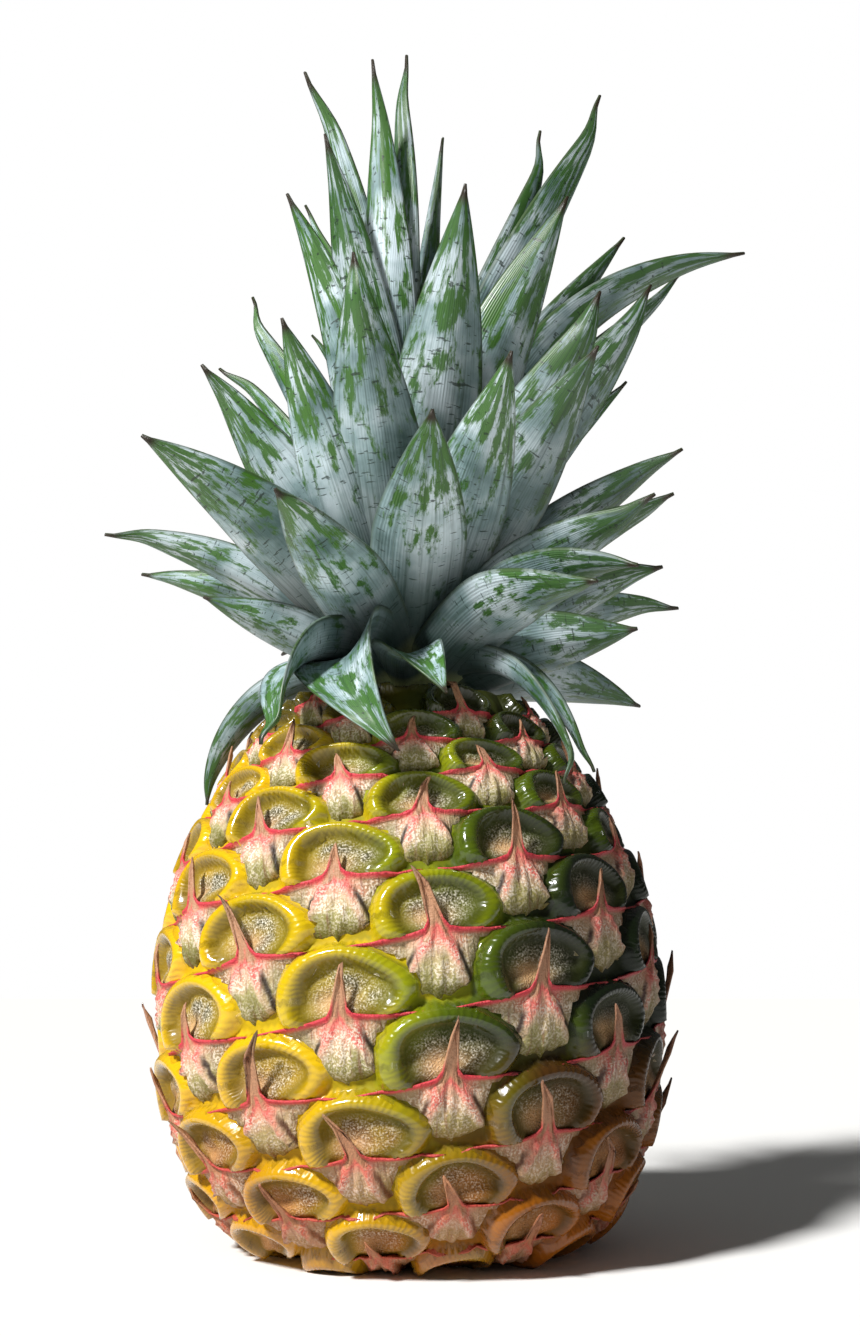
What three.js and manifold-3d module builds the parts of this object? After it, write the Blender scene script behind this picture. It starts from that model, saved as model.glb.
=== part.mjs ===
// A whole pineapple standing on its cut base, with its leafy crown.
// Millimetres, +Z up, the origin in the middle of the flat base, and the front towards -Y.
import * as THREE from "three";
import { mergeVertices } from "three/addons/utils/BufferGeometryUtils.js";
import Module from "manifold-3d";

const wasm = await Module();
wasm.setup();

// The fruit's outline, measured over its eyes.
const FRUIT_HEIGHT = 130;
const BELLY_RADIUS = 62;
const BELLY_HEIGHT = 60;
const BASE_RADIUS = 33;
const NECK_RADIUS = 22;
const NECK_HEIGHT = 141;
const BASE_CURVE = 2.2;
const SHOULDER_CURVE = 1.0;
const LEAN = -2.5;

// The eyes, numbered down one spiral. Each has its lower neighbours 8 and 13 places further on.
const EYE_TURN = 137.219;
const FIRST_EYE_TURN = 1.6;
const FIRST_EYE = -22;
const LAST_EYE = 102;
const SPREAD = 0.3;
const SKEW = 0.035;
const RING_TILT = 2.6;
const FRONT_STRETCH = 11;
const STEPS_PER_EYE = 5;
const OVERSHOOT = 8;
const EYE_RELIEF = 4;

// The papery spike in the middle of each bract.
const SPIKE_WIDTH = 5.6;
const SPIKE_LENGTH = 11;
const SPIKE_LIFT = 2.6;
const SPIKE_ROOT = 2;
const SPIKE_SWING = 4;

// The crown's short stem, which stands on the fruit.
const SEAT_GAP = 0.3;
const STEM_RADIUS = 17;
const STEM_TIP_RADIUS = 6;
const STEM_HEIGHT = 46;

// A leaf is a hollowed blade, thickest along its middle. Leaves at the sides roll their backs forward.
const LEAF_ROWS = 6;
const TIP_TAPER = 3.2;
const ROW_SPACING = 0.8;
const LEAF_ROLL = 46;
const LEAF_CUP = 0.22;
const LEAF_MIDDLE = 2.2;
const LEAF_EDGE = 0.8;
const LEAF_ROOT_SHARE = 0.55;

// The leaves that show from the front, by where each tip is: its turn round the stem (0 is the front,
// 90 the right), its reach from the axis, its rise over the fruit, the lean of the blade at its root and
// at its tip (0 is upright, 90 level, 180 straight down), its width, and how far the tip is turned aside.
const FRONT_LEAVES = [
  [-90, 3, 197, 2, 4, 16, 0],
  [-47, 12, 184, 2, 5, 18, 0],
  [-90, 26, 187, 4, 14, 19, 0],
  [-58, 26, 158, 4, 14, 21, 0],
  [-76, 34, 144, 6, 24, 20, 0],
  [145, 18, 178, 4, 10, 17, 0],
  [24, 37, 131, 10, 16, 27, 0],
  [-16, 48, 105, 22, 24, 25, 0],
  [103, 45, 178, 8, 18, 20, 0],
  [103, 64, 193, 12, 26, 24, 0],
  [68, 47, 138, 12, 28, 26, 0],
  [107, 68, 148, 16, 36, 22, 0],
  [104, 104, 147, 20, 72, 20, 0],
  [110, 91, 143, 24, 42, 18, 0],
  [121, 78, 111, 30, 40, 19, 0],
  [83, 69, 117, 26, 30, 24, 0],
  [56, 61, 101, 28, 32, 25, 0],
  [45, 65, 80, 38, 40, 25, 0],
  [23, 63, 72, 44, 40, 25, 0],
  [5, 70, 53, 52, 58, 26, 0],
  [-41, 47, 92, 28, 28, 22, 0],
  [-106, 51, 124, 18, 30, 17, 0],
  [-118, 60, 110, 24, 40, 17, 0],
  [-65, 57, 85, 34, 38, 22, 0],
  [-58, 75, 59, 42, 66, 24, 0],
  [-19, 83, 32, 60, 74, 22, 0],
  [-90, 79, 49, 48, 76, 15, 0],
  [-101, 74, 41, 52, 76, 15, 0],
  [-79, 53, 27, 54, 70, 16, 0],
  [79, 73, 67, 40, 58, 17, 0],
  [70, 72, 49, 44, 74, 17, 0],
  [52, 74, 40, 48, 78, 19, 0],
  [42, 78, 21, 56, 108, 19, 0],
  [81, 67, 36, 52, 74, 20, 0],
  [101, 75, 33, 54, 80, 18, 0],
  [32, 78, 14, 62, 104, 22, 0],
  [67, 62, 15, 66, 86, 22, 0],
];

// The lowest leaves hang over the fruit's shoulder, clear of its eyes.
const HANGING_LEAVES = [
  [-38, 61, -20, 50, 178, 20, 12],
  [-30, 61, -21, 52, 168, 29, 28],
  [-2, 54, -7, 66, 145, 18, 12],
  [46, 56, -25, 58, 168, 11, 0],
  [53, 54, -22, 56, 168, 11, 0],
  [-95, 52, -25, 54, 178, 11, 0],
];

// The rest of the crown, on the sides that the front leaves leave open.
const BACK_LEAVES = 14;
const BACK_LEAF_TURN = 137.5;
const BACK_SPAN = 116;

const FRUIT_SKIN = new THREE.MeshStandardMaterial({ color: 0xa08a2c, roughness: 0.45, metalness: 0 });
const LEAF_GREEN = new THREE.MeshStandardMaterial({ color: 0x6f8a78, roughness: 0.5, metalness: 0 });

const RADIAN = Math.PI / 180;

// A closed triangle mesh as a solid.
function solid(points, faces) {
  const vertProperties = new Float32Array(points.flatMap((point) => [point.x, point.y, point.z]));
  const triVerts = new Uint32Array(faces.flat());
  return new wasm.Manifold(new wasm.Mesh({ numProp: 3, vertProperties, triVerts }));
}

// A solid back as a named mesh: its outer shell alone, without the small hollows that joining sealed.
function meshOf(name, body, material) {
  const { vertProperties, triVerts } = body.getMesh();
  const geometry = new THREE.BufferGeometry();
  geometry.setAttribute("position", new THREE.BufferAttribute(vertProperties, 3));
  geometry.setIndex(largestShell(triVerts, vertProperties.length / 3));
  geometry.computeVertexNormals();
  const mesh = new THREE.Mesh(geometry, material);
  mesh.name = name;
  return mesh;
}

// The triangles of the largest set that hangs together by its corners.
function largestShell(triVerts, pointCount) {
  const parent = Array.from({ length: pointCount }, (_, i) => i);
  const find = (i) => {
    let top = i;
    while (parent[top] !== top) {
      parent[top] = parent[parent[top]];
      top = parent[top];
    }
    return top;
  };
  const shells = new Map();
  for (let i = 0; i < triVerts.length; i += 3) {
    parent[find(triVerts[i + 1])] = find(triVerts[i]);
    parent[find(triVerts[i + 2])] = find(triVerts[i]);
  }
  for (let i = 0; i < triVerts.length; i += 3) {
    const shell = find(triVerts[i]);
    if (!shells.has(shell)) {
      shells.set(shell, []);
    }
    shells.get(shell).push(triVerts[i], triVerts[i + 1], triVerts[i + 2]);
  }
  return [...shells.values()].reduce((best, shell) => (shell.length > best.length ? shell : best));
}

// Adds the bodies together in pairs, which keeps each union small.
function fuse(bodies) {
  let rest = bodies;
  while (rest.length > 1) {
    const joined = [];
    for (let i = 0; i < rest.length; i += 2) {
      joined.push(i + 1 < rest.length ? rest[i].add(rest[i + 1]) : rest[i]);
    }
    rest = joined;
  }
  return rest[0];
}

// The outline's radius at a height: a full belly, a blunt base and a long shoulder.
function outlineRadius(z) {
  if (z <= BELLY_HEIGHT) {
    const drop = Math.min(1, 1 - z / BELLY_HEIGHT);
    return BASE_RADIUS + (BELLY_RADIUS - BASE_RADIUS) * Math.sqrt(1 - drop ** BASE_CURVE);
  }
  const climb = Math.min(1, (z - BELLY_HEIGHT) / (NECK_HEIGHT - BELLY_HEIGHT));
  return NECK_RADIUS + (BELLY_RADIUS - NECK_RADIUS) * (1 - climb * climb) ** SHOULDER_CURVE;
}

// The height of eye number n, which may be a fraction: closer together at both ends.
function eyeHeight(n) {
  const u = (n - FIRST_EYE) / (LAST_EYE - FIRST_EYE);
  const phase = 2 * Math.PI * u;
  return FRUIT_HEIGHT * (1 - u + SPREAD * Math.sin(phase) / (2 * Math.PI) + SKEW * (1 - Math.cos(phase)));
}

// A frame on the outline at eye number n and a turn in degrees: the point, and the ways out and up.
// The eyes grew wider at the front and a little lower on the right, and the fruit leans to the left.
function outlineFrame(n, evenTurn) {
  const sine = Math.sin(evenTurn * RADIAN);
  const turn = evenTurn + FRONT_STRETCH * sine;
  const z = eyeHeight(n) - RING_TILT * sine;
  const step = 0.5;
  const slope = (outlineRadius(z + step) - outlineRadius(z - step)) / (2 * step);
  const length = Math.hypot(1, slope);
  const side = new THREE.Vector3(Math.sin(turn * RADIAN), -Math.cos(turn * RADIAN), 0);
  const across = new THREE.Vector3(Math.cos(turn * RADIAN), Math.sin(turn * RADIAN), 0);
  const point = side.clone().multiplyScalar(outlineRadius(z)).setZ(z);
  point.x += LEAN * z / FRUIT_HEIGHT;
  const out = side.clone().divideScalar(length).setZ(-slope / length);
  const up = side.clone().multiplyScalar(slope / length).setZ(1 / length);
  return { point, out, up, across };
}

// How high one eye stands, from 0 to 1, at a place in its diamond: p runs across it to -1 and 1 at the
// bract's two wing tips, and q up it to 1, and down to -1 at the bract's point.
function eyeRelief(p, q) {
  if (q > 0) {
    const r = Math.hypot(p / 0.72, q / 1.1);
    const rim = Math.exp(-(((r - 0.8) / 0.18) ** 2));
    const disc = 0.5 * Math.max(0, 1 - r ** 4);
    return Math.max(rim, disc);
  }
  const width = 0.95 * (1 + q);
  const roof = Math.max(0, 1 - Math.abs(p) / Math.max(width, 0.01));
  const lip = 0.35 * Math.exp(-((q / 0.12) ** 2)) * Math.max(0, 1 - Math.abs(p));
  return Math.min(1, (0.35 + 0.6 * roof) * Math.max(0, 1 + q) ** 0.5 * (roof > 0 ? 1 : 0.4) + lip);
}

// The eyes' relief at a place counted in steps of 8 and of 13 eyes.
function fruitRelief(eights, thirteens) {
  const a = eights - Math.round(eights);
  const b = thirteens - Math.round(thirteens);
  let relief = 0;
  for (const i of [-1, 0, 1]) {
    for (const j of [-1, 0, 1]) {
      const p = a - i - (b - j);
      const q = -(a - i) - (b - j);
      if (Math.abs(p) < 1.05 && Math.abs(q) < 1.15) {
        relief = Math.max(relief, eyeRelief(p, q));
      }
    }
  }
  return relief;
}

// The fruit's body: a net of points along the eyes' own spirals, so that every eye has the same points.
// Point number L on the net is L / STEPS_PER_EYE eyes down the spiral, and has STEPS_PER_EYE places
// round the fruit, one per turn.
function fruitBody() {
  const k = STEPS_PER_EYE;
  const first = (FIRST_EYE - OVERSHOOT) * k;
  const last = (LAST_EYE + OVERSHOOT) * k;
  const turnOfEight = 8 * EYE_TURN - 3 * 360;
  const turnOfThirteen = 13 * EYE_TURN - 5 * 360;
  const index = (level, turn) => (level - first) * k + ((turn % k) + k) % k;
  const points = [];
  for (let level = first; level < last; level += 1) {
    for (let turn = 0; turn < k; turn += 1) {
      const eights = (5 * level + 13 * turn) / k;
      const thirteens = (-3 * level - 8 * turn) / k;
      const degrees = FIRST_EYE_TURN + eights * turnOfEight + thirteens * turnOfThirteen;
      const { point, out } = outlineFrame(level / k, degrees);
      const depth = EYE_RELIEF * (fruitRelief(eights, thirteens) - 1);
      points.push(point.addScaledVector(out, depth));
    }
  }
  const faces = [];
  for (let level = first; level < last - 21; level += 1) {
    for (let turn = 0; turn < k; turn += 1) {
      const top = index(level, turn);
      const right = index(level + 8, turn - 3);
      const left = index(level + 13, turn - 5);
      const bottom = index(level + 21, turn - 8);
      faces.push([top, left, right], [right, left, bottom]);
    }
  }
  addCap(points, faces, first, index, true);
  addCap(points, faces, last - 21, index, false);
  return solid(points, faces);
}

// Closes one end of the net with a fan round the axis. The end's rim goes 8 places on where it can,
// and 13 back where it can't.
function addCap(points, faces, start, index, isTop) {
  const centre = points.length;
  const heights = [];
  let level = start;
  let turn = 0;
  do {
    const isStepOn = level + 8 < start + 21;
    const nextLevel = isStepOn ? level + 8 : level - 13;
    const nextTurn = isStepOn ? turn - 3 : turn + 5;
    const here = index(level, turn);
    const next = index(nextLevel, nextTurn);
    faces.push(isTop ? [centre, here, next] : [centre, next, here]);
    heights.push(points[here].z);
    level = nextLevel;
    turn = ((nextTurn % STEPS_PER_EYE) + STEPS_PER_EYE) % STEPS_PER_EYE;
  } while (level !== start || turn !== 0);
  const height = heights.reduce((sum, z) => sum + z, 0) / heights.length;
  points.push(new THREE.Vector3(0, 0, height));
}

// One bract's spike: a slim three-sided spine that stands up over the eye.
function spike(n) {
  const { point, out, up, across } = outlineFrame(n, FIRST_EYE_TURN + n * EYE_TURN);
  const swing = SPIKE_SWING * Math.sin(n * EYE_TURN);
  const place = (x, y, lift) => point.clone()
    .addScaledVector(across, x)
    .addScaledVector(up, y)
    .addScaledVector(out, lift);
  const left = place(-SPIKE_WIDTH / 2, -1.5, -SPIKE_ROOT);
  const right = place(SPIKE_WIDTH / 2, -1.5, -SPIKE_ROOT);
  const front = place(0, -3, 0.8);
  const tip = place(swing, SPIKE_LENGTH * (0.85 + 0.15 * Math.cos(n)), SPIKE_LIFT);
  return solid([left, right, front, tip], [[0, 3, 1], [0, 1, 2], [0, 2, 3], [1, 3, 2]]);
}

// A closed block with which the ends of the net are cut level.
function levelBlock() {
  const block = new THREE.BoxGeometry(4 * BELLY_RADIUS, 4 * BELLY_RADIUS, FRUIT_HEIGHT);
  block.translate(0, 0, FRUIT_HEIGHT / 2);
  return solidOfGeometry(block);
}

// A three.js geometry with its shared corners joined, as a solid.
function solidOfGeometry(geometry) {
  geometry.deleteAttribute("normal");
  geometry.deleteAttribute("uv");
  const joined = mergeVertices(geometry);
  const vertProperties = new Float32Array(joined.getAttribute("position").array);
  const triVerts = new Uint32Array(joined.getIndex().array);
  return new wasm.Manifold(new wasm.Mesh({ numProp: 3, vertProperties, triVerts }));
}

function fruit() {
  const spikes = [];
  for (let n = FIRST_EYE + 6; n < LAST_EYE - 4; n += 1) {
    spikes.push(spike(n));
  }
  const body = fruitBody().add(fuse(spikes)).intersect(levelBlock());
  return meshOf("fruit", body, FRUIT_SKIN);
}

// One leaf, from its root on the stem to its tip, along a curve in the upright plane of its turn.
function leaf([turn, reach, rise, rootLean, tipLean, width, aside]) {
  const seat = FRUIT_HEIGHT + SEAT_GAP;
  const rootHeight = 5 + 32 * Math.max(0, (rise - 20) / 170);
  const stemRadius = STEM_RADIUS + (STEM_TIP_RADIUS - STEM_RADIUS) * rootHeight / STEM_HEIGHT;
  const root = new THREE.Vector2(LEAF_ROOT_SHARE * stemRadius, rootHeight);
  const tip = new THREE.Vector2(reach, rise);
  const pull = root.distanceTo(tip) * 0.42;
  const handle = (lean) => new THREE.Vector2(Math.sin(lean * RADIAN), Math.cos(lean * RADIAN));
  const path = new THREE.CubicBezierCurve(
    root,
    root.clone().addScaledVector(handle(rootLean), pull),
    tip.clone().addScaledVector(handle(tipLean), -pull),
    tip,
  );
  const roll = -LEAF_ROLL * RADIAN * Math.sin(turn * RADIAN);
  const points = [];
  for (let row = 0; row < LEAF_ROWS; row += 1) {
    const t = (row / (LEAF_ROWS - 1)) ** ROW_SPACING;
    const place = path.getPoint(t);
    const along = path.getTangent(t);
    const angle = (turn + aside * t * t) * RADIAN;
    const side = new THREE.Vector3(Math.sin(angle), -Math.cos(angle), 0);
    const level = new THREE.Vector3(Math.cos(angle), Math.sin(angle), 0);
    const inward = side.clone().multiplyScalar(-along.y).setZ(along.x);
    const across = level.clone().multiplyScalar(Math.cos(roll)).addScaledVector(inward, Math.sin(roll));
    const upper = inward.clone().multiplyScalar(Math.cos(roll)).addScaledVector(level, -Math.sin(roll));
    const middle = side.clone().multiplyScalar(place.x).setZ(seat + place.y);
    middle.x += LEAN;
    const half = Math.max(0.8, width / 2 * Math.min(1, 0.74 + 0.5 * t) * (1 - t ** TIP_TAPER));
    const cup = LEAF_CUP * half;
    const thick = LEAF_EDGE + (LEAF_MIDDLE - LEAF_EDGE) * (1 - t);
    const spot = (x, lift) => middle.clone().addScaledVector(across, x).addScaledVector(upper, lift);
    points.push(spot(-half, cup), spot(0, -cup), spot(half, cup));
    points.push(spot(half, cup - LEAF_EDGE), spot(0, -cup - thick), spot(-half, cup - LEAF_EDGE));
  }
  return solid(points, tubeFaces(LEAF_ROWS, 6));
}

// The faces of a tube of rows of points, closed at both ends by fans.
function tubeFaces(rows, around) {
  const faces = [];
  for (let row = 0; row + 1 < rows; row += 1) {
    for (let i = 0; i < around; i += 1) {
      const here = row * around + i;
      const next = row * around + (i + 1) % around;
      faces.push([here, next + around, next], [here, here + around, next + around]);
    }
  }
  const end = (rows - 1) * around;
  for (const i of [0, 1, 3, 4]) {
    const pairs = { 0: [0, 1, 5], 1: [1, 4, 5], 3: [1, 2, 4], 4: [2, 3, 4] };
    const [a, b, c] = pairs[i];
    faces.push([a, b, c], [end + a, end + c, end + b]);
  }
  return faces;
}

// The leaves at the back, each a golden turn from the last, longer and steeper towards the top.
function backLeaves() {
  const rows = [];
  for (let i = 0; i < BACK_LEAVES; i += 1) {
    const t = i / (BACK_LEAVES - 1);
    const share = ((i * BACK_LEAF_TURN / 360) % 1) - 0.5;
    const lean = 90 - 66 * t;
    rows.push([180 + BACK_SPAN * share, 80 - 40 * t, 10 + 150 * t, lean - 22, lean + 6, 21 - 3 * t, 0]);
  }
  return rows;
}

function crown() {
  const stem = new THREE.CylinderGeometry(STEM_TIP_RADIUS, STEM_RADIUS, STEM_HEIGHT, 16);
  stem.rotateX(Math.PI / 2);
  stem.translate(LEAN, 0, FRUIT_HEIGHT + SEAT_GAP + STEM_HEIGHT / 2);
  const leaves = [...FRONT_LEAVES, ...HANGING_LEAVES, ...backLeaves()].map(leaf);
  const body = fuse(leaves).add(solidOfGeometry(stem));
  return meshOf("crown", body, LEAF_GREEN);
}

const group = new THREE.Group();
group.add(fruit(), crown());

export default group;
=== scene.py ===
"""A whole pineapple: its rind with eyes and papery bracts, and its leafy crown, on a pale floor."""

import bpy
import numpy as np
from math import atan, cos, pi, radians, sin
from mathutils import Euler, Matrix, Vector


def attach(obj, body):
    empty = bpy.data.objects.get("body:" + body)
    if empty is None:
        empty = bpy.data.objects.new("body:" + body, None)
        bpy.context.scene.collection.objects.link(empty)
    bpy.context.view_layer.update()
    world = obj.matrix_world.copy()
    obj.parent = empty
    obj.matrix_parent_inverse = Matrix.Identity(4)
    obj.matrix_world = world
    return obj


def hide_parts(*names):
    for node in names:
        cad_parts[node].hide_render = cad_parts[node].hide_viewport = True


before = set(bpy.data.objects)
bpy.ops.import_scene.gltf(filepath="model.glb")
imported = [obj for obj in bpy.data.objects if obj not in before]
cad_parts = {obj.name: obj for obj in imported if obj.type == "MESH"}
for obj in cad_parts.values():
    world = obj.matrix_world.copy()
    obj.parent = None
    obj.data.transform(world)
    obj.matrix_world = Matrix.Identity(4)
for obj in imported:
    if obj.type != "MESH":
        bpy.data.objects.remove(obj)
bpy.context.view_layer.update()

bl_info = {
    "name": "Pineapple",
    "version": (1, 0, 0),
    "blender": (4, 5, 0),
    "location": "3D View > Sidebar > Pineapple",
    "description": "Makes the rind, the bracts and the crown of a pineapple on its packed solids",
    "category": "Object",
}

MM = 0.001
SEED = 11
# More rows of chances than there are bracts or leaves.
CHANCE_ROWS = 200

# The photograph's size in pixels.
PHOTO_WIDTH = 860
PHOTO_HEIGHT = 1336

# The lamp's direction, from the front left and high up, and half the floor's width in metres.
LAMP_DIRECTION = (0.75, 0.75, -0.95)
FLOOR_HALF = 6.0

# Where a Mix node of colours keeps its two colours and its result.
MIX_A = 6
MIX_B = 7
MIX_RESULT = 2

# The fruit's outline over its eyes, in millimetres, as in the solids.
FRUIT_HEIGHT = 130.0
BELLY_RADIUS = 62.0
BELLY_HEIGHT = 60.0
BASE_RADIUS = 33.0
NECK_RADIUS = 22.0
NECK_HEIGHT = 141.0
BASE_CURVE = 2.2
LEAN = -2.5
EYE_RELIEF = 4.0

# How fast the skin closes in past its ends, in millimetres, and by what share of its radius at most.
CLOSING_LENGTH = 6.5
MOST_CLOSED = 0.97

# The eyes' spiral, as in the solids.
EYE_TURN = 137.219
FIRST_EYE_TURN = 1.6
FIRST_EYE = -22
LAST_EYE = 102
SPREAD = 0.3
SKEW = 0.035
RING_TILT = 2.6
FRONT_STRETCH = 11.0
# Eyes that the net has past each end, and the rows of chances before the first eye and in all.
OVERSHOOT = 8
CHANCES_BEFORE = 2 * OVERSHOOT + 20
EYE_CHANCES = LAST_EYE - FIRST_EYE + 4 * OVERSHOOT + 60
# The first and last eyes with a bract.
FIRST_BRACT = FIRST_EYE + 4
LAST_BRACT = LAST_EYE - 4
TURN_OF_EIGHT = 8 * EYE_TURN - 3 * 360
TURN_OF_THIRTEEN = 13 * EYE_TURN - 5 * 360

# Half the width and half the height of one eye's diamond at the belly.
EYE_HALF_WIDTH = 18.5
EYE_HALF_HEIGHT = 12.7

# A dome's half widths left and right, its half height, and how far its middle is over its diamond's, all
# in halves of the diamond.
DOME_LEFT = 0.66
DOME_RIGHT = 0.83
DOME_HIGH = 0.71
DOME_RISE = 0.31

# A bract in millimetres: half its top edge, half its spike's width, the spike's length and how much that
# varies, its depth below the edge, the most that its bed is high, and how far its lower margin sinks under
# the rims and discs beside it.
WING = 17.0
SPIKE_HALF = 1.5
SPIKE_LENGTH = 7.5
SPIKE_VARIES = 3.2
BRACT_DEPTH = 13.0
BED_MOST = 2.6
MARGIN_SINKS = 3.0

# The crown's stem and leaves, as in the solids.
SEAT_GAP = 0.3
STEM_RADIUS = 17.0
STEM_TIP_RADIUS = 6.0
STEM_HEIGHT = 46.0
LEAF_ROOT_SHARE = 0.55
TIP_TAPER = 3.2
LEAF_ROLL = 46.0
LEAF_CUP = 0.22
LEAF_MIDDLE = 2.2
LEAF_PULL = 0.42
BACK_LEAVES = 14
BACK_LEAF_TURN = 137.5
BACK_SPAN = 116.0

# The thickness of a leaf's edge and half the width of its tip in millimetres, finer than in the solids.
LEAF_EDGE = 0.6
LEAST_HALF_WIDTH = 0.35

# What chance adds to each leaf: degrees of roll at its tip, the height of its waves as a share of its half
# width, and how many millimetres its very tip bends, from this share of its length on.
ROLL_VARIES = 3
LEAF_WAVE = 0.04
TIP_BENDS = 5.5
BEND_START = 0.86

# Each leaf that shows from the front: its turn, its tip's reach and rise over the fruit, its lean at root
# and tip, its width, and how far its tip is turned aside, as in the solids.
FRONT_LEAVES = [
    [-90, 3, 197, 2, 4, 16, 0],
    [-47, 12, 184, 2, 5, 18, 0],
    [-90, 26, 187, 4, 14, 19, 0],
    [-58, 26, 158, 4, 14, 21, 0],
    [-76, 34, 144, 6, 24, 20, 0],
    [145, 18, 178, 4, 10, 17, 0],
    [24, 37, 131, 10, 16, 27, 0],
    [-16, 48, 105, 22, 24, 25, 0],
    [103, 45, 178, 8, 18, 20, 0],
    [103, 64, 193, 12, 26, 24, 0],
    [68, 47, 138, 12, 28, 26, 0],
    [107, 68, 148, 16, 36, 22, 0],
    [104, 104, 147, 20, 72, 20, 0],
    [110, 91, 143, 24, 42, 18, 0],
    [121, 78, 111, 30, 40, 19, 0],
    [83, 69, 117, 26, 30, 24, 0],
    [56, 61, 101, 28, 32, 25, 0],
    [45, 65, 80, 38, 40, 25, 0],
    [23, 63, 72, 44, 40, 25, 0],
    [5, 70, 53, 52, 58, 26, 0],
    [-41, 47, 92, 28, 28, 22, 0],
    [-106, 51, 124, 18, 30, 17, 0],
    [-118, 60, 110, 24, 40, 17, 0],
    [-65, 57, 85, 34, 38, 22, 0],
    [-58, 75, 59, 42, 66, 24, 0],
    [-19, 83, 32, 60, 74, 22, 0],
    [-90, 79, 49, 48, 76, 15, 0],
    [-101, 74, 41, 52, 76, 15, 0],
    [-79, 53, 27, 54, 70, 16, 0],
    [79, 73, 67, 40, 58, 17, 0],
    [70, 72, 49, 44, 74, 17, 0],
    [52, 74, 40, 48, 78, 19, 0],
    [42, 78, 21, 56, 108, 19, 0],
    [81, 67, 36, 52, 74, 20, 0],
    [101, 75, 33, 54, 80, 18, 0],
    [32, 78, 14, 62, 104, 22, 0],
    [67, 62, 15, 66, 86, 22, 0],
]

# The lowest leaves, which hang over the shoulder.
HANGING_LEAVES = [
    [-38, 61, -20, 50, 178, 20, 12],
    [-30, 61, -21, 52, 168, 29, 28],
    [-2, 54, -7, 66, 145, 18, 12],
    [46, 56, -25, 58, 168, 11, 0],
    [53, 54, -22, 56, 168, 11, 0],
    [-95, 52, -25, 54, 178, 11, 0],
]


def linear(hex_colour):
    """An sRGB hex colour as the linear RGBA that the shader takes."""
    channels = [int(hex_colour[i:i + 2], 16) / 255 for i in (1, 3, 5)]
    return [c / 12.92 if c <= 0.04045 else ((c + 0.055) / 1.055) ** 2.4 for c in channels] + [1.0]


def smooth(low, high, values):
    """0 below low, 1 above high, and an even S between them."""
    t = np.clip((values - low) / (high - low), 0, 1)
    return t * t * (3 - 2 * t)


def add_node(tree, kind, settings=None, inputs=None):
    """Adds one node, sets its properties, and links or sets its inputs."""
    node = tree.nodes.new(kind)
    for name, value in (settings or {}).items():
        setattr(node, name, value)
    for name, value in (inputs or {}).items():
        if isinstance(value, bpy.types.NodeSocket):
            tree.links.new(value, node.inputs[name])
        else:
            node.inputs[name].default_value = value
    return node


def set_stops(ramp, stops):
    """Gives a colour ramp its stops, each a place from 0 to 1 and a hex colour."""
    elements = ramp.color_ramp.elements
    while len(elements) < len(stops):
        elements.new(0.5)
    for element, (place, colour) in zip(elements, stops):
        element.position = place
        element.color = linear(colour)


def layered(tree, base, layers):
    """Lays colours over a base one after another, each by its own share. Gives the colour that results."""
    for share, colour in layers:
        mixed = add_node(tree, "ShaderNodeMix", {"data_type": "RGBA"}, {0: share, MIX_A: base, MIX_B: colour})
        base = mixed.outputs[MIX_RESULT]
    return base


def stored(tree, name):
    """A vector that a piece's points keep, and its three parts."""
    vector = add_node(tree, "ShaderNodeAttribute", {"attribute_name": name}).outputs["Vector"]
    return vector, add_node(tree, "ShaderNodeSeparateXYZ", inputs={0: vector}).outputs


def new_material(name):
    """A node material, its tree and its Principled shader."""
    material = bpy.data.materials.new(name)
    material.use_nodes = True
    tree = material.node_tree
    return material, tree, tree.nodes["Principled BSDF"]


def make_piece(name, points_mm, faces, material):
    """A smooth mesh object from an array of points in millimetres and a list of faces."""
    mesh = bpy.data.meshes.new(name)
    mesh.from_pydata((points_mm * MM).tolist(), [], faces)
    mesh.materials.append(material)
    mesh.polygons.foreach_set("use_smooth", [True] * len(mesh.polygons))
    mesh.update()
    piece = bpy.data.objects.new(name, mesh)
    bpy.context.scene.collection.objects.link(piece)
    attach(piece, "root")
    return piece


def store(piece, name, vectors):
    """Keeps a vector for each point of a piece, for its material to read."""
    attribute = piece.data.attributes.new(name, "FLOAT_VECTOR", "POINT")
    attribute.data.foreach_set("vector", vectors.astype(np.float32).ravel())


# The fruit's shape.

def outline_radius(z):
    """The outline's radius at a height: a rounded base below the belly and a long shoulder above."""
    drop = np.clip(1 - z / BELLY_HEIGHT, 0, 1)
    below = BASE_RADIUS + (BELLY_RADIUS - BASE_RADIUS) * np.sqrt(1 - drop ** BASE_CURVE)
    climb = np.clip((z - BELLY_HEIGHT) / (NECK_HEIGHT - BELLY_HEIGHT), 0, 1)
    above = NECK_RADIUS + (BELLY_RADIUS - NECK_RADIUS) * (1 - climb * climb)
    return np.where(z < BELLY_HEIGHT, below, above)


def eye_height(n):
    """The height of eye number n, closer together at both ends of the fruit."""
    u = (n - FIRST_EYE) / (LAST_EYE - FIRST_EYE)
    phase = 2 * pi * u
    return FRUIT_HEIGHT * (1 - u + SPREAD * np.sin(phase) / (2 * pi) + SKEW * (1 - np.cos(phase)))


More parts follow.
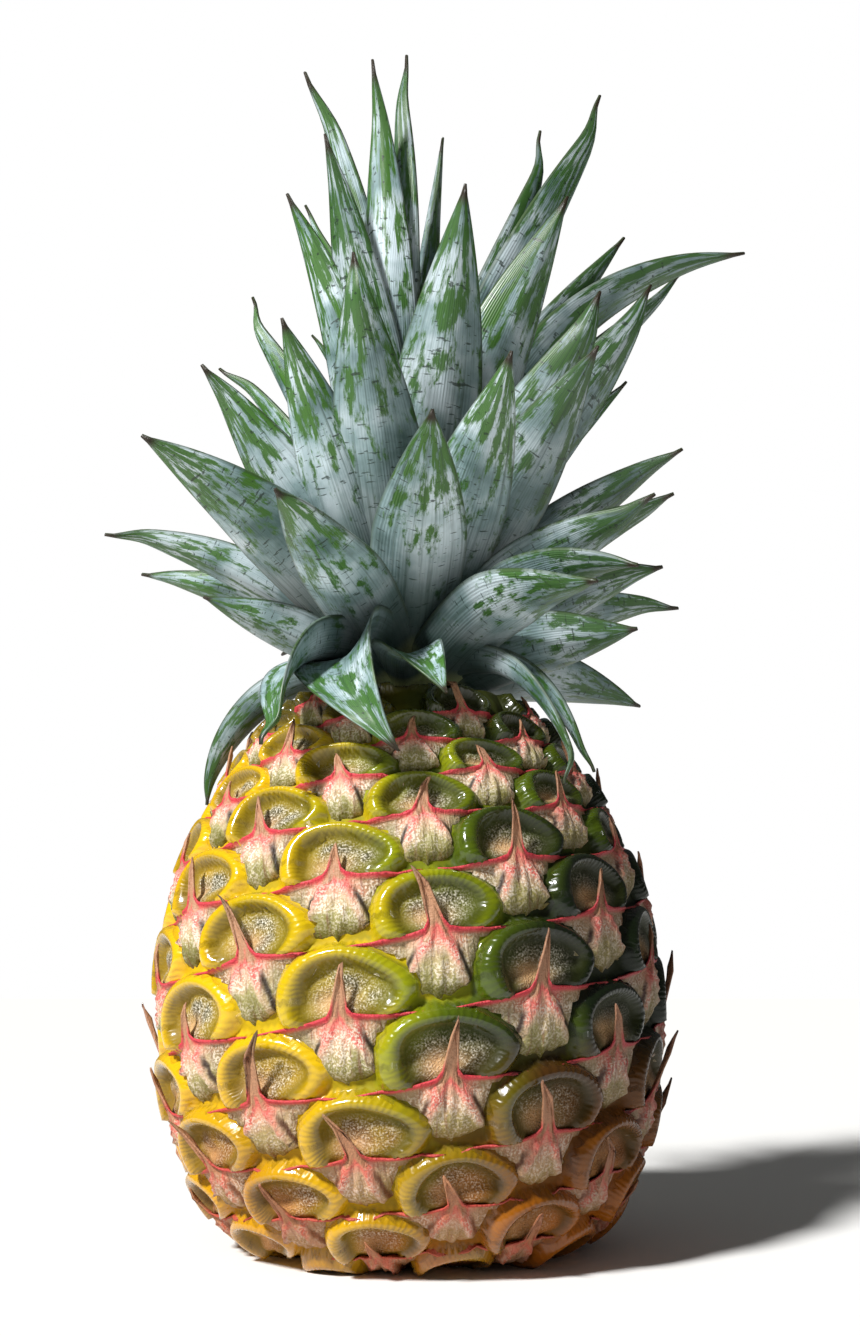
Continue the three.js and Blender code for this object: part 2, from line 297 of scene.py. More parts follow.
def fruit_points(eights, thirteens, height):
    """Points of the fruit at places counted in steps of 8 and 13 eyes, a height over the furrows."""
    n = 8 * eights + 13 * thirteens
    even_turn = np.radians(FIRST_EYE_TURN + eights * TURN_OF_EIGHT + thirteens * TURN_OF_THIRTEEN)
    sine = np.sin(even_turn)
    turn = even_turn + radians(FRONT_STRETCH) * sine
    z = eye_height(n) - RING_TILT * sine
    slope = outline_radius(z + 0.5) - outline_radius(z - 0.5)
    length = np.hypot(1, slope)
    lift = height - EYE_RELIEF
    radius = outline_radius(z) + lift / length
    level = z - lift * slope / length
    below = np.clip(-level, 0, None)
    above = np.clip(level - FRUIT_HEIGHT, 0, None)
    closing = 1 - np.clip(np.maximum(below, above) / CLOSING_LENGTH, 0, MOST_CLOSED)
    radius = radius * closing
    level = np.clip(level, 0, FRUIT_HEIGHT)
    x = radius * np.sin(turn) + LEAN * level / FRUIT_HEIGHT
    return np.stack([x, -radius * np.cos(turn), level], -1)


def eye_chances():
    """Three even random numbers from -1 to 1 for each eye, the same on every run."""
    return np.random.default_rng(SEED).uniform(-1, 1, (EYE_CHANCES, 3))


def dome_parts(p, q, chance):
    """One eye's dome at p across and q up its diamond: its height in millimetres, and how much of the
    place is rim, disc, pit and the ring between rim and disc, which the rind darkens as painted shade.
    The rim is a round roll, thicker on the left, round a sunken disc with a pit."""
    across = p - 0.06 * chance[..., 2]
    across = across / np.where(across < 0, DOME_LEFT, DOME_RIGHT)
    up = (q - DOME_RISE) / (DOME_HIGH * (1 + 0.04 * chance[..., 1]))
    power = 1.95 - 0.3 * np.tanh(3 * across)
    r = (np.abs(across) ** power + np.abs(up) ** power) ** (1 / power) * (1 - 0.04 * chance[..., 0])
    spoke = np.arctan2(up, across)
    above = smooth(-0.13, 0.0, q)
    rolled = 0.215 - 0.03 * np.cos(spoke) + 0.02 * np.sin(3 * spoke + 5 * chance[..., 1])
    middle = 0.99 - rolled
    roll = np.sqrt(np.clip(1 - ((r - middle) / rolled) ** 2, 0, 1))
    inner = smooth(middle + 0.02, middle - 0.8 * rolled, r)
    pit = np.exp(-((p + 0.06) / 0.2) ** 2 - ((q - 0.22) / 0.16) ** 2)
    folds = 0.3 * np.sin(4 * spoke + 6 * chance[..., 2]) * smooth(0.1, 0.4, r)
    bowl = 1.7 + folds + 1.3 * np.exp(-((q - 0.1) / 0.14) ** 2) - 0.9 * pit
    tall = 4.6 + 0.5 * chance[..., 0] - 0.6 * np.cos(spoke)
    flank = 1.0 * smooth(1.4, 0.96, r)
    height = above * np.maximum(np.maximum(roll * tall, inner * bowl), flank)
    rim = above * smooth(0.1, 0.5, roll) * smooth(middle - rolled, middle - 0.5 * rolled, r)
    scurfed = above * smooth(middle - 0.6 * rolled, middle - 2.2 * rolled, r)
    # The ring between rim and disc is darkened as painted shade.
    ring = above * inner * (1 - scurfed)
    return height, rim, scurfed, above * inner * pit, ring


def bed_height(p, q):
    """The bed under a bract: a low ridge down the middle of the lower half of the diamond."""
    width = 0.9 * (1 + q) + 0.06
    ridge = np.clip(1 - np.abs(p) / width, 0, 1)
    return np.where((q <= 0.02) & (q > -1.05), 0.9 + 1.5 * ridge ** 0.8 * smooth(-1.05, -0.5, q), 0.0)


def rind_parts(eights, thirteens):
    """The rind at places counted in steps of 8 and 13 eyes: the height, the shares of rim, disc and pit,
    the share of painted shade in the furrows and each dome's ring, the angle round the nearest dome, and
    the chance of the eye that stands highest there."""
    chances = eye_chances()
    base_a = np.round(eights)
    base_b = np.round(thirteens)
    best = np.full(eights.shape, -1.0)
    kept = np.zeros((6, *eights.shape))
    for i in (-1, 0, 1):
        for j in (-1, 0, 1):
            a = eights - base_a - i
            b = thirteens - base_b - j
            # In the eye's diamond p runs across and q up, each from -1 to 1.
            p = a - b
            q = -a - b
            number = (8 * (base_a + i) + 13 * (base_b + j) - FIRST_EYE + CHANCES_BEFORE).astype(int)
            chance = chances[np.clip(number, 0, len(chances) - 1)]
            dome, *shares = dome_parts(p, q, chance)
            height = np.maximum(dome, bed_height(p, q))
            is_dome = dome >= height
            spoke = np.arctan2((q - DOME_RISE) / DOME_HIGH, p / DOME_LEFT)
            here = [*(share * is_dome for share in shares), spoke, chance[..., 0]]
            higher = height > best
            best = np.where(higher, height, best)
            kept = np.where(higher, here, kept)
    rim, disc, pit, ring, spoke, chance_kept = kept
    # Painted shade in the low furrows between the eyes and in each dome's ring.
    furrow_shade = np.maximum(smooth(1.3, 0.2, best), 0.8 * ring)
    return best, rim, disc, pit, furrow_shade, spoke, chance_kept


def rind_net(steps):
    """The net of points along the eyes' spirals: the places in steps of 8 and 13 eyes, the faces, and
    the two rims, each a list of point numbers in order round the fruit. Steps of 8, 13 and 21 eyes are 3, 5
    and 8 whole turns round."""
    first = (FIRST_EYE - OVERSHOOT) * steps
    last = (LAST_EYE + OVERSHOOT) * steps
    level, turn = np.meshgrid(np.arange(first, last), np.arange(steps), indexing="ij")
    eights = ((5 * level + 13 * turn) / steps).ravel()
    thirteens = ((-3 * level - 8 * turn) / steps).ravel()

    def number(levels, turns):
        return (levels - first) * steps + turns % steps

    top, spin = np.meshgrid(np.arange(first, last - 21), np.arange(steps), indexing="ij")
    corners = [number(top, spin), number(top + 13, spin - 5), number(top + 21, spin - 8),
               number(top + 8, spin - 3)]
    faces = np.stack([corner.ravel() for corner in corners], -1)
    rims = []
    for start in (first, last - 21):
        rim = []
        here, spin_here = start, 0
        while not rim or (here, spin_here) != (start, 0):
            rim.append(int(number(here, spin_here)))
            if here + 8 < start + 21:
                here, spin_here = here + 8, (spin_here - 3) % steps
            else:
                here, spin_here = here - 13, (spin_here + 5) % steps
        rims.append(rim)
    return eights, thirteens, faces, rims


def rind_material():
    """Ripe pineapple rind: waxy rims that shine, and dull sunken discs with grey scurf. Yellow on
    the left, through green to dark olive on the right: partly a less ripe side, partly painted shade on
    the side away from the lamp. Painted shade also darkens the furrows, each dome's ring and the rind
    under the crown."""
    material, tree, shader = new_material("ripe_rind")
    place = add_node(tree, "ShaderNodeTexCoord").outputs["Object"]
    shares = stored(tree, "parts")[1]
    extras = stored(tree, "more")[1]
    rim, disc, pit = shares["X"], shares["Y"], shares["Z"]
    furrow_shade, spoke, chance = extras["X"], extras["Y"], extras["Z"]

    where = add_node(tree, "ShaderNodeSeparateXYZ", inputs={0: place}).outputs
    # Ripening patches about 25 mm across.
    patches = add_node(tree, "ShaderNodeTexNoise", inputs={"Vector": place, "Scale": 40.0, "Detail": 3.0})
    patch_shift = add_node(tree, "ShaderNodeMath", {"operation": "MULTIPLY_ADD"},
                           {0: patches.outputs["Fac"], 1: 0.05, 2: -0.025})
    chance_shift = add_node(tree, "ShaderNodeMath", {"operation": "MULTIPLY_ADD"},
                            {0: chance, 1: 0.009, 2: patch_shift.outputs[0]})
    sideways = add_node(tree, "ShaderNodeMath", {"operation": "ADD"},
                        {0: where["X"], 1: chance_shift.outputs[0]})
    # Partly ripeness, partly painted shade: the rind darkens towards the right, away from the lamp.
    ripeness_and_shade = add_node(tree, "ShaderNodeMapRange", {},
                        {"Value": sideways.outputs[0], "From Min": -0.05, "From Max": 0.055})
    rind = add_node(tree, "ShaderNodeValToRGB", inputs={"Fac": ripeness_and_shade.outputs["Result"]})
    set_stops(rind, [(0.0, "#DDB00A"), (0.25, "#C8A808"), (0.45, "#848A0A"), (0.6, "#465606"),
                     (0.82, "#10180A")])

    # White and grey grains of scurf in the discs, about 0.4 mm, and less of it on the right side, which is
    # partly less ripe and partly in painted shade.
    grains = add_node(tree, "ShaderNodeTexNoise", inputs={"Vector": place, "Scale": 2400.0, "Detail": 1.0})
    grain = add_node(tree, "ShaderNodeMapRange", {},
                     {"Value": grains.outputs["Fac"], "From Min": 0.36, "From Max": 0.7})
    scurf = add_node(tree, "ShaderNodeValToRGB", inputs={"Fac": grain.outputs["Result"]})
    set_stops(scurf, [(0.0, "#34341A"), (0.5, "#8A846C"), (1.0, "#E2DCCC")])
    clouds = add_node(tree, "ShaderNodeTexNoise", inputs={"Vector": place, "Scale": 180.0, "Detail": 3.0})
    cloud = add_node(tree, "ShaderNodeMapRange", {},
                     {"Value": clouds.outputs["Fac"], "From Min": 0.35, "From Max": 0.6, "To Min": 0.6})
    less_ripe_and_shaded = add_node(tree, "ShaderNodeMapRange", {},
                      {"Value": where["X"], "From Min": 0.01, "From Max": 0.045, "To Min": 1.0,
                       "To Max": 0.15})
    cloudy = add_node(tree, "ShaderNodeMath", {"operation": "MULTIPLY"},
                      {0: disc, 1: cloud.outputs["Result"]})
    scurfy = add_node(tree, "ShaderNodeMath", {"operation": "MULTIPLY"},
                      {0: cloudy.outputs[0], 1: less_ripe_and_shaded.outputs["Result"]})
    # The pit of each disc is tan.
    pitted = add_node(tree, "ShaderNodeMath", {"operation": "MULTIPLY"}, {0: pit, 1: 0.85})
    # The foot of the fruit turns brown in patches.
    low = add_node(tree, "ShaderNodeMapRange", {},
                   {"Value": where["Z"], "From Min": 0.05, "From Max": 0.0, "To Max": 1.5})
    low_patch = add_node(tree, "ShaderNodeMath", {"operation": "MULTIPLY"},
                         {0: low.outputs["Result"], 1: patches.outputs["Fac"]})
    # Painted shade under the crown: the bare rind there is as dark as the furrows.
    under_crown_shade = add_node(tree, "ShaderNodeMapRange", {},
                    {"Value": where["Z"], "From Min": 0.112, "From Max": 0.124})
    # Painted shade in the furrows, in each dome's ring and under the crown.
    hollow_shade = add_node(tree, "ShaderNodeMath", {"operation": "MAXIMUM"},
                      {0: furrow_shade, 1: under_crown_shade.outputs["Result"]})
    dark = add_node(tree, "ShaderNodeMath", {"operation": "MULTIPLY"}, {0: hollow_shade.outputs[0], 1: 0.9})

    colour = layered(tree, rind.outputs["Color"], [
        (scurfy.outputs[0], scurf.outputs["Color"]),
        (pitted.outputs[0], linear("#D3A877")),
        (low_patch.outputs[0], linear("#A0580C")),
        (dark.outputs[0], linear("#26290A")),
    ])
    tree.links.new(colour, shader.inputs["Base Color"])

    gloss = add_node(tree, "ShaderNodeMapRange", {}, {"Value": rim, "To Min": 0.62, "To Max": 0.26})
    tree.links.new(gloss.outputs["Result"], shader.inputs["Roughness"])
    shader.inputs["IOR"].default_value = 1.45
    shine = add_node(tree, "ShaderNodeMath", {"operation": "MULTIPLY"}, {0: rim, 1: less_ripe_and_shaded.outputs["Result"]})
    tree.links.new(shine.outputs[0], shader.inputs["Coat Weight"])
    shader.inputs["Coat Roughness"].default_value = 0.12
    shader.inputs["Specular IOR Level"].default_value = 0.2

    # Fine wrinkles run out across each rim, about 45 to a full turn.
    waves = add_node(tree, "ShaderNodeMath", {"operation": "MULTIPLY"}, {0: spoke, 1: 45.0})
    wobble = add_node(tree, "ShaderNodeMath", {"operation": "MULTIPLY_ADD"},
                      {0: clouds.outputs["Fac"], 1: 14.0, 2: waves.outputs[0]})
    ripple = add_node(tree, "ShaderNodeMath", {"operation": "SINE"}, {0: wobble.outputs[0]})
    ripple_rim = add_node(tree, "ShaderNodeMath", {"operation": "MULTIPLY"}, {0: ripple.outputs[0], 1: rim})
    grain_disc = add_node(tree, "ShaderNodeMath", {"operation": "MULTIPLY"},
                          {0: grain.outputs["Result"], 1: disc})
    relief = add_node(tree, "ShaderNodeMath", {"operation": "MULTIPLY_ADD"},
                      {0: ripple_rim.outputs[0], 1: 0.25, 2: grain_disc.outputs[0]})
    bump = add_node(tree, "ShaderNodeBump",
                    inputs={"Height": relief.outputs[0], "Distance": 0.0003, "Strength": 0.6})
    tree.links.new(bump.outputs["Normal"], shader.inputs["Normal"])
    return material


# The bracts.

def bract_grid(columns, rows):
    """One bract's own places: u across it from -1 to 1, v down it from 0 to 1, and the distance across
    its top edge in millimetres. Columns crowd towards the spike in the middle."""
    u, v = np.meshgrid(np.linspace(-1, 1, columns), np.linspace(0, 1, rows) ** 1.3)
    return u, v, WING * np.sign(u) * np.abs(u) ** 1.8


def bract_points(number, chance, columns, rows):
    """One bract: thin wings along the top edge, a body that narrows to a point below, and a spike.
    Two folds run out and down from the spike, and the lower margin tucks in under the rims beside it."""
    u, v, x_top = bract_grid(columns, rows)
    near = np.clip(1 - (np.abs(x_top) / SPIKE_HALF) ** 1.5, 0, 1)
    spike = (SPIKE_LENGTH + SPIKE_VARIES * chance[0]) * near + 2.0 * np.exp(-np.abs(x_top) / 2.2)
    top = spike - 0.9 * u * u
    narrow = (1 - v) ** np.where(u < 0, 0.34, 0.4 + 0.06 * chance[1])
    x = x_top * narrow
    depth = BRACT_DEPTH * (1 - 0.14 * np.abs(u) ** 1.2)
    ragged = 0.5 * np.sin(9 * u + 4 * chance[2]) * v * v
    y = top * (1 - v) ** 2.4 - (depth + ragged) * v
    over = np.clip(y, 0, None)
    down = np.clip(-y, 0, None)
    sway = np.sin(0.5 * over + 3 * chance[1]) + 0.5 * np.sin(1.9 * over + 9 * u + 5 * chance[2])
    x = x + chance[2] * 0.04 * over ** 2 + 0.05 * over * sway

    slant = np.where(x < 0, 0.5 + 0.12 * chance[1], 0.42 + 0.12 * chance[2])
    fold = np.abs(x) - 1.2 - slant * down
    raised = 1.3 * np.exp(-(fold / 0.9) ** 2) * smooth(0, 2, down) + 0.6 * smooth(1.2, -0.6, fold)
    waves = 0.3 * np.sin(2.3 * x + 5 * chance[1] + 0.5 * down) * smooth(0, 3, down)
    lip = 0.8 * np.exp(-(v / 0.05) ** 2) * (1 - 0.5 * np.abs(u))
    tuck = 1.1 * smooth(0.75, 1.0, v)
    stand = 0.26 * over + 0.018 * chance[0] * over ** 2 + 0.12 * over * np.abs(x_top) / SPIKE_HALF * near
    lift = 0.3 + (raised + waves) * smooth(1.0, 0.75, v) + lip + stand - tuck
    p = x / EYE_HALF_WIDTH
    q = y / EYE_HALF_HEIGHT
    # 5 steps of 8 eyes, less 3 steps of 13, come to the next eye.
    eights = 5 * number + (p - q) / 2
    thirteens = -3 * number - (p + q) / 2
    bed, rim, disc = rind_parts(eights, thirteens)[:3]
    covered = np.where(y > -1, 0, MARGIN_SINKS * np.maximum(smooth(0.2, 0.8, rim), smooth(0, 0.3, disc)))
    bed_here = np.where(y > 0, np.clip(BED_MOST - 0.1 * y, 0, None), np.minimum(bed, BED_MOST) - covered)
    points = fruit_points(eights, thirteens, bed_here + lift)
    # The material reads x and y in centimetres, and the distance past the fold in steps of 5 mm.
    places = np.stack([x / 10, y / 10, np.full_like(x, chance[0])], -1)
    folds = np.stack([fold / 5, v, u], -1)
    return points.reshape(-1, 3), places.reshape(-1, 3), folds.reshape(-1, 3)


def grid_faces(columns, rows, start):
    """The quads of a grid of points stored row by row from point number start."""
    row, column = np.meshgrid(np.arange(rows - 1), np.arange(columns - 1), indexing="ij")
    corner = (row * columns + column + start).ravel()
    return np.stack([corner, corner + columns, corner + columns + 1, corner + 1], -1)


def bract_material():
    """Papery bract: a dry, thin scale. Crimson along its free edge, salmon under it, then cream and
    olive under white scurf, with painted shade in the creases beside its folds and a tan spike. The
    right side is darker, partly less ripe and partly in painted shade."""
    material, tree, shader = new_material("papery_bract")
    place = add_node(tree, "ShaderNodeTexCoord").outputs["Object"]
    where = add_node(tree, "ShaderNodeSeparateXYZ", inputs={0: place}).outputs
    spot, split = stored(tree, "spot")
    bend = stored(tree, "fold")[1]
    # Fibres run up the bract, about 0.6 mm apart.
    stretched = add_node(tree, "ShaderNodeVectorMath", {"operation": "MULTIPLY"},
                         {0: spot, 1: (16.0, 1.6, 7.0)})
    fibres = add_node(tree, "ShaderNodeTexNoise",
                      inputs={"Vector": stretched.outputs[0], "Scale": 1.0, "Detail": 3.0})
    grains = add_node(tree, "ShaderNodeTexNoise", inputs={"Vector": place, "Scale": 2000.0, "Detail": 1.0})
    clouds = add_node(tree, "ShaderNodeTexNoise", inputs={"Vector": place, "Scale": 240.0, "Detail": 4.0})

    # The salmon reaches further down along the folds.
    along = add_node(tree, "ShaderNodeMath", {"operation": "ABSOLUTE"}, {0: bend["X"]})
    reach = add_node(tree, "ShaderNodeMapRange", {"interpolation_type": "SMOOTHSTEP"},
                     {"Value": along.outputs[0], "From Min": 0.35, "From Max": 0.0, "To Max": 0.35})
    mottled = add_node(tree, "ShaderNodeMath", {"operation": "MULTIPLY_ADD"},
                       {0: clouds.outputs["Fac"], 1: 0.9, 2: split["Y"]})
    shifted = add_node(tree, "ShaderNodeMath", {"operation": "ADD"},
                       {0: mottled.outputs[0], 1: reach.outputs["Result"]})
    down = add_node(tree, "ShaderNodeMapRange", {},
                    {"Value": shifted.outputs[0], "From Min": 0.72, "From Max": -0.65})
    body = add_node(tree, "ShaderNodeValToRGB", inputs={"Fac": down.outputs["Result"]})
    set_stops(body, [(0.0, "#B08262"), (0.16, "#D8605A"), (0.32, "#DC8E78"), (0.48, "#C8A888"),
                     (0.72, "#989058"), (1.0, "#66621A")])
    # Wings outside the folds are duller.
    outside = add_node(tree, "ShaderNodeMapRange", {"interpolation_type": "SMOOTHSTEP"},
                       {"Value": bend["X"], "From Min": 0.05, "From Max": 0.9, "To Max": 0.75})
    # White grains of scurf, about 0.5 mm, below the edge.
    grain = add_node(tree, "ShaderNodeMapRange", {},
                     {"Value": grains.outputs["Fac"], "From Min": 0.46, "From Max": 0.58})
    below = add_node(tree, "ShaderNodeMapRange", {},
                     {"Value": split["Y"], "From Min": -0.02, "From Max": -0.3, "To Max": 0.8})
    patchy = add_node(tree, "ShaderNodeMapRange", {},
                      {"Value": clouds.outputs["Fac"], "From Min": 0.38, "From Max": 0.6, "To Min": 0.2})
    grain_share = add_node(tree, "ShaderNodeMath", {"operation": "MULTIPLY"},
                           {0: grain.outputs["Result"], 1: below.outputs["Result"]})
    grain_patch = add_node(tree, "ShaderNodeMath", {"operation": "MULTIPLY"},
                           {0: grain_share.outputs[0], 1: patchy.outputs["Result"]})
    # The scurf thins out towards the lower margin.
    thin = add_node(tree, "ShaderNodeMapRange", {},
                    {"Value": bend["Y"], "From Min": 0.55, "From Max": 0.9, "To Min": 1.0, "To Max": 0.2})
    grain_left = add_node(tree, "ShaderNodeMath", {"operation": "MULTIPLY"},
                          {0: grain_patch.outputs[0], 1: thin.outputs["Result"]})
    # Brown fibres.
    streak = add_node(tree, "ShaderNodeMapRange", {},
                      {"Value": fibres.outputs["Fac"], "From Min": 0.56, "From Max": 0.7, "To Max": 0.6})
    # Painted shade in the crease just outside each fold, about 1 mm wide.
    off = add_node(tree, "ShaderNodeMath", {"operation": "SUBTRACT"}, {0: bend["X"], 1: 0.24})
    gap = add_node(tree, "ShaderNodeMath", {"operation": "ABSOLUTE"}, {0: off.outputs[0]})
    crease_shade = add_node(tree, "ShaderNodeMapRange", {"interpolation_type": "SMOOTHSTEP"},
                      {"Value": gap.outputs[0], "From Min": 0.17, "From Max": 0.02, "To Max": 0.95})
    low = add_node(tree, "ShaderNodeMapRange", {"interpolation_type": "SMOOTHSTEP"},
                   {"Value": split["Y"], "From Min": -0.15, "From Max": -0.45})
    crease_shade_share = add_node(tree, "ShaderNodeMath", {"operation": "MULTIPLY"},
                            {0: crease_shade.outputs["Result"], 1: low.outputs["Result"]})
    # The crimson free edge, about 1 mm wide.
    edge = add_node(tree, "ShaderNodeMapRange", {"interpolation_type": "SMOOTHSTEP"},
                    {"Value": bend["Y"], "From Min": 0.1, "From Max": 0.02, "To Max": 0.85})
    not_spike = add_node(tree, "ShaderNodeMapRange", {"interpolation_type": "SMOOTHSTEP"},
                         {"Value": split["Y"], "From Min": 0.4, "From Max": 0.12})
    edge_share = add_node(tree, "ShaderNodeMath", {"operation": "MULTIPLY"},
                          {0: edge.outputs["Result"], 1: not_spike.outputs["Result"]})
    # The lower margin and the spike's end are dry and dark.
    tip = add_node(tree, "ShaderNodeMapRange", {},
                   {"Value": split["Y"], "From Min": 0.7, "From Max": 1.3, "To Max": 0.7})
    foot = add_node(tree, "ShaderNodeMapRange", {},
                    {"Value": bend["Y"], "From Min": 0.85, "From Max": 1.0, "To Max": 0.35})
    dry = add_node(tree, "ShaderNodeMath", {"operation": "MAXIMUM"},
                   {0: tip.outputs["Result"], 1: foot.outputs["Result"]})
    # The foot is browner, and the right side darker, partly less ripe and partly in painted shade.
    foot_share = add_node(tree, "ShaderNodeMapRange", {},
                          {"Value": where["Z"], "From Min": 0.045, "From Max": 0.0, "To Max": 0.7})
    side = add_node(tree, "ShaderNodeMapRange", {"interpolation_type": "SMOOTHSTEP"},
                    {"Value": where["X"], "From Min": 0.0, "From Max": 0.06, "To Max": 0.6})

    colour = layered(tree, body.outputs["Color"], [
        (outside.outputs["Result"], linear("#7E7A50")),
        (grain_left.outputs[0], linear("#F0E4D0")),
        (streak.outputs["Result"], linear("#6E3D2C")),
        (crease_shade_share.outputs[0], linear("#231812")),
        (edge_share.outputs[0], linear("#CC2640")),
        (dry.outputs[0], linear("#4E2C1E")),
        (foot_share.outputs["Result"], linear("#96501E")),
        (side.outputs["Result"], linear("#40180C")),
    ])
    tree.links.new(colour, shader.inputs["Base Color"])
    shader.inputs["Roughness"].default_value = 0.55
    shader.inputs["IOR"].default_value = 1.45
    relief = add_node(tree, "ShaderNodeMath", {"operation": "MULTIPLY_ADD"},
                      {0: grains.outputs["Fac"], 1: 0.6, 2: fibres.outputs["Fac"]})
    bump = add_node(tree, "ShaderNodeBump",
                    inputs={"Height": relief.outputs[0], "Distance": 0.0006, "Strength": 0.7})
    tree.links.new(bump.outputs["Normal"], shader.inputs["Normal"])
    return material


# The crown.

def all_leaves():
    """Every leaf of the crown: those that show, those that hang, and the back ones by a golden turn."""
    rows = [*FRONT_LEAVES, *HANGING_LEAVES]
    for i in range(BACK_LEAVES):
        t = i / (BACK_LEAVES - 1)
        share = (i * BACK_LEAF_TURN / 360) % 1 - 0.5
        # Each grows higher than the last, and is steeper, nearer the middle and narrower.
        lean = 90 - 66 * t
        rows.append([180 + BACK_SPAN * share, 80 - 40 * t, 10 + 150 * t, lean - 22, lean + 6, 21 - 3 * t, 0])
    return rows


def leaf_path(row, t):
    """A leaf's middle line in its upright plane: a curve from the stem with a lean at each end. t runs
    from 0 at the stem to 1 at the tip. Gives each point's reach and rise and which way the line runs."""
    reach, rise, root_lean, tip_lean = row[1:5]
    # Leaves that rise further grow from higher on the stem.
    root_height = 5 + 32 * max(0, (rise - 20) / 170)
    stem_radius = STEM_RADIUS + (STEM_TIP_RADIUS - STEM_RADIUS) * root_height / STEM_HEIGHT
    root = np.array([LEAF_ROOT_SHARE * stem_radius, root_height])
    tip = np.array([reach, rise])
    pull = np.linalg.norm(tip - root) * LEAF_PULL
    first = root + pull * np.array([sin(radians(root_lean)), cos(radians(root_lean))])
    second = tip - pull * np.array([sin(radians(tip_lean)), cos(radians(tip_lean))])
    t = t[:, None]
    line = (1 - t) ** 3 * root + 3 * (1 - t) ** 2 * t * first + 3 * (1 - t) * t ** 2 * second + t ** 3 * tip
    along = (3 * (1 - t) ** 2 * (first - root) + 6 * (1 - t) * t * (second - first)
             + 3 * t ** 2 * (tip - second))
    return line, along / np.linalg.norm(along, axis=1, keepdims=True)


def leaf_points(row, rows, around, chance):
    """One leaf as a tube of flat sections: hollowed across, widest low down, thin at its edges."""
    t = np.linspace(0, 1, rows) ** 0.9
    line, along = leaf_path(row, t)
    turn, width, aside = row[0], row[5], row[6]
    angle = np.radians(turn + aside * t * t)
    zero = np.zeros_like(t)
    side = np.stack([np.sin(angle), -np.cos(angle), zero], -1)
    level = np.stack([np.cos(angle), np.sin(angle), zero], -1)
    inward = side * -along[:, 1:2] + np.stack([zero, zero, along[:, 0]], -1)
    roll = -radians(LEAF_ROLL) * sin(radians(turn)) + radians(ROLL_VARIES) * chance[0] * t[:, None] ** 2
    across = level * np.cos(roll) + inward * np.sin(roll)
    upper = inward * np.cos(roll) - level * np.sin(roll)
    middle = side * line[:, :1] + np.stack([zero + LEAN, zero, FRUIT_HEIGHT + SEAT_GAP + line[:, 1]], -1)
    half = np.maximum(LEAST_HALF_WIDTH, width / 2 * np.minimum(1, 0.74 + 0.5 * t) * (1 - t ** TIP_TAPER))
    hook = TIP_BENDS * chance[1] * smooth(BEND_START, 1.0, t) ** 2
    middle = middle + upper * hook[:, None]

    # Across the blade, a runs from -1 to 1 over its top and back under it.
    half_around = around // 2
    a_up = np.linspace(-1, 1, half_around)
    a = np.concatenate([a_up, a_up[::-1]])
    is_under = np.concatenate([np.zeros(half_around), np.ones(half_around)])
    thick = LEAF_EDGE + (LEAF_MIDDLE - LEAF_EDGE) * (1 - t)[:, None] * (1 - a[None, :] ** 2)
    cup = LEAF_CUP * half[:, None] * (2 * np.abs(a[None, :]) ** 1.5 - 1)
    wave = LEAF_WAVE * half[:, None] * a[None, :] * np.sin(2 * pi * (1.6 * t[:, None] + chance[2]))
    lift = cup + wave - is_under * thick
    shift = (half[:, None] * a[None, :])[..., None] * across[:, None, :]
    points = middle[:, None, :] + shift + lift[..., None] * upper[:, None, :]
    places = np.stack(np.broadcast_arrays(a[None, :], t[:, None], chance[0]), -1)
    return points.reshape(-1, 3), places.reshape(-1, 3)


def tube_faces(rows, around, start):
    """The faces of a tube stored row by row, and of its two ends."""
    row, column = np.meshgrid(np.arange(rows - 1), np.arange(around), indexing="ij")
    here = start + (row * around + column).ravel()
    beside = start + (row * around + (column + 1) % around).ravel()
    faces = np.stack([here, here + around, beside + around, beside], -1).tolist()
    faces.append([start + i for i in range(around)])
    faces.append([start + (rows - 1) * around + i for i in reversed(range(around))])
    return faces


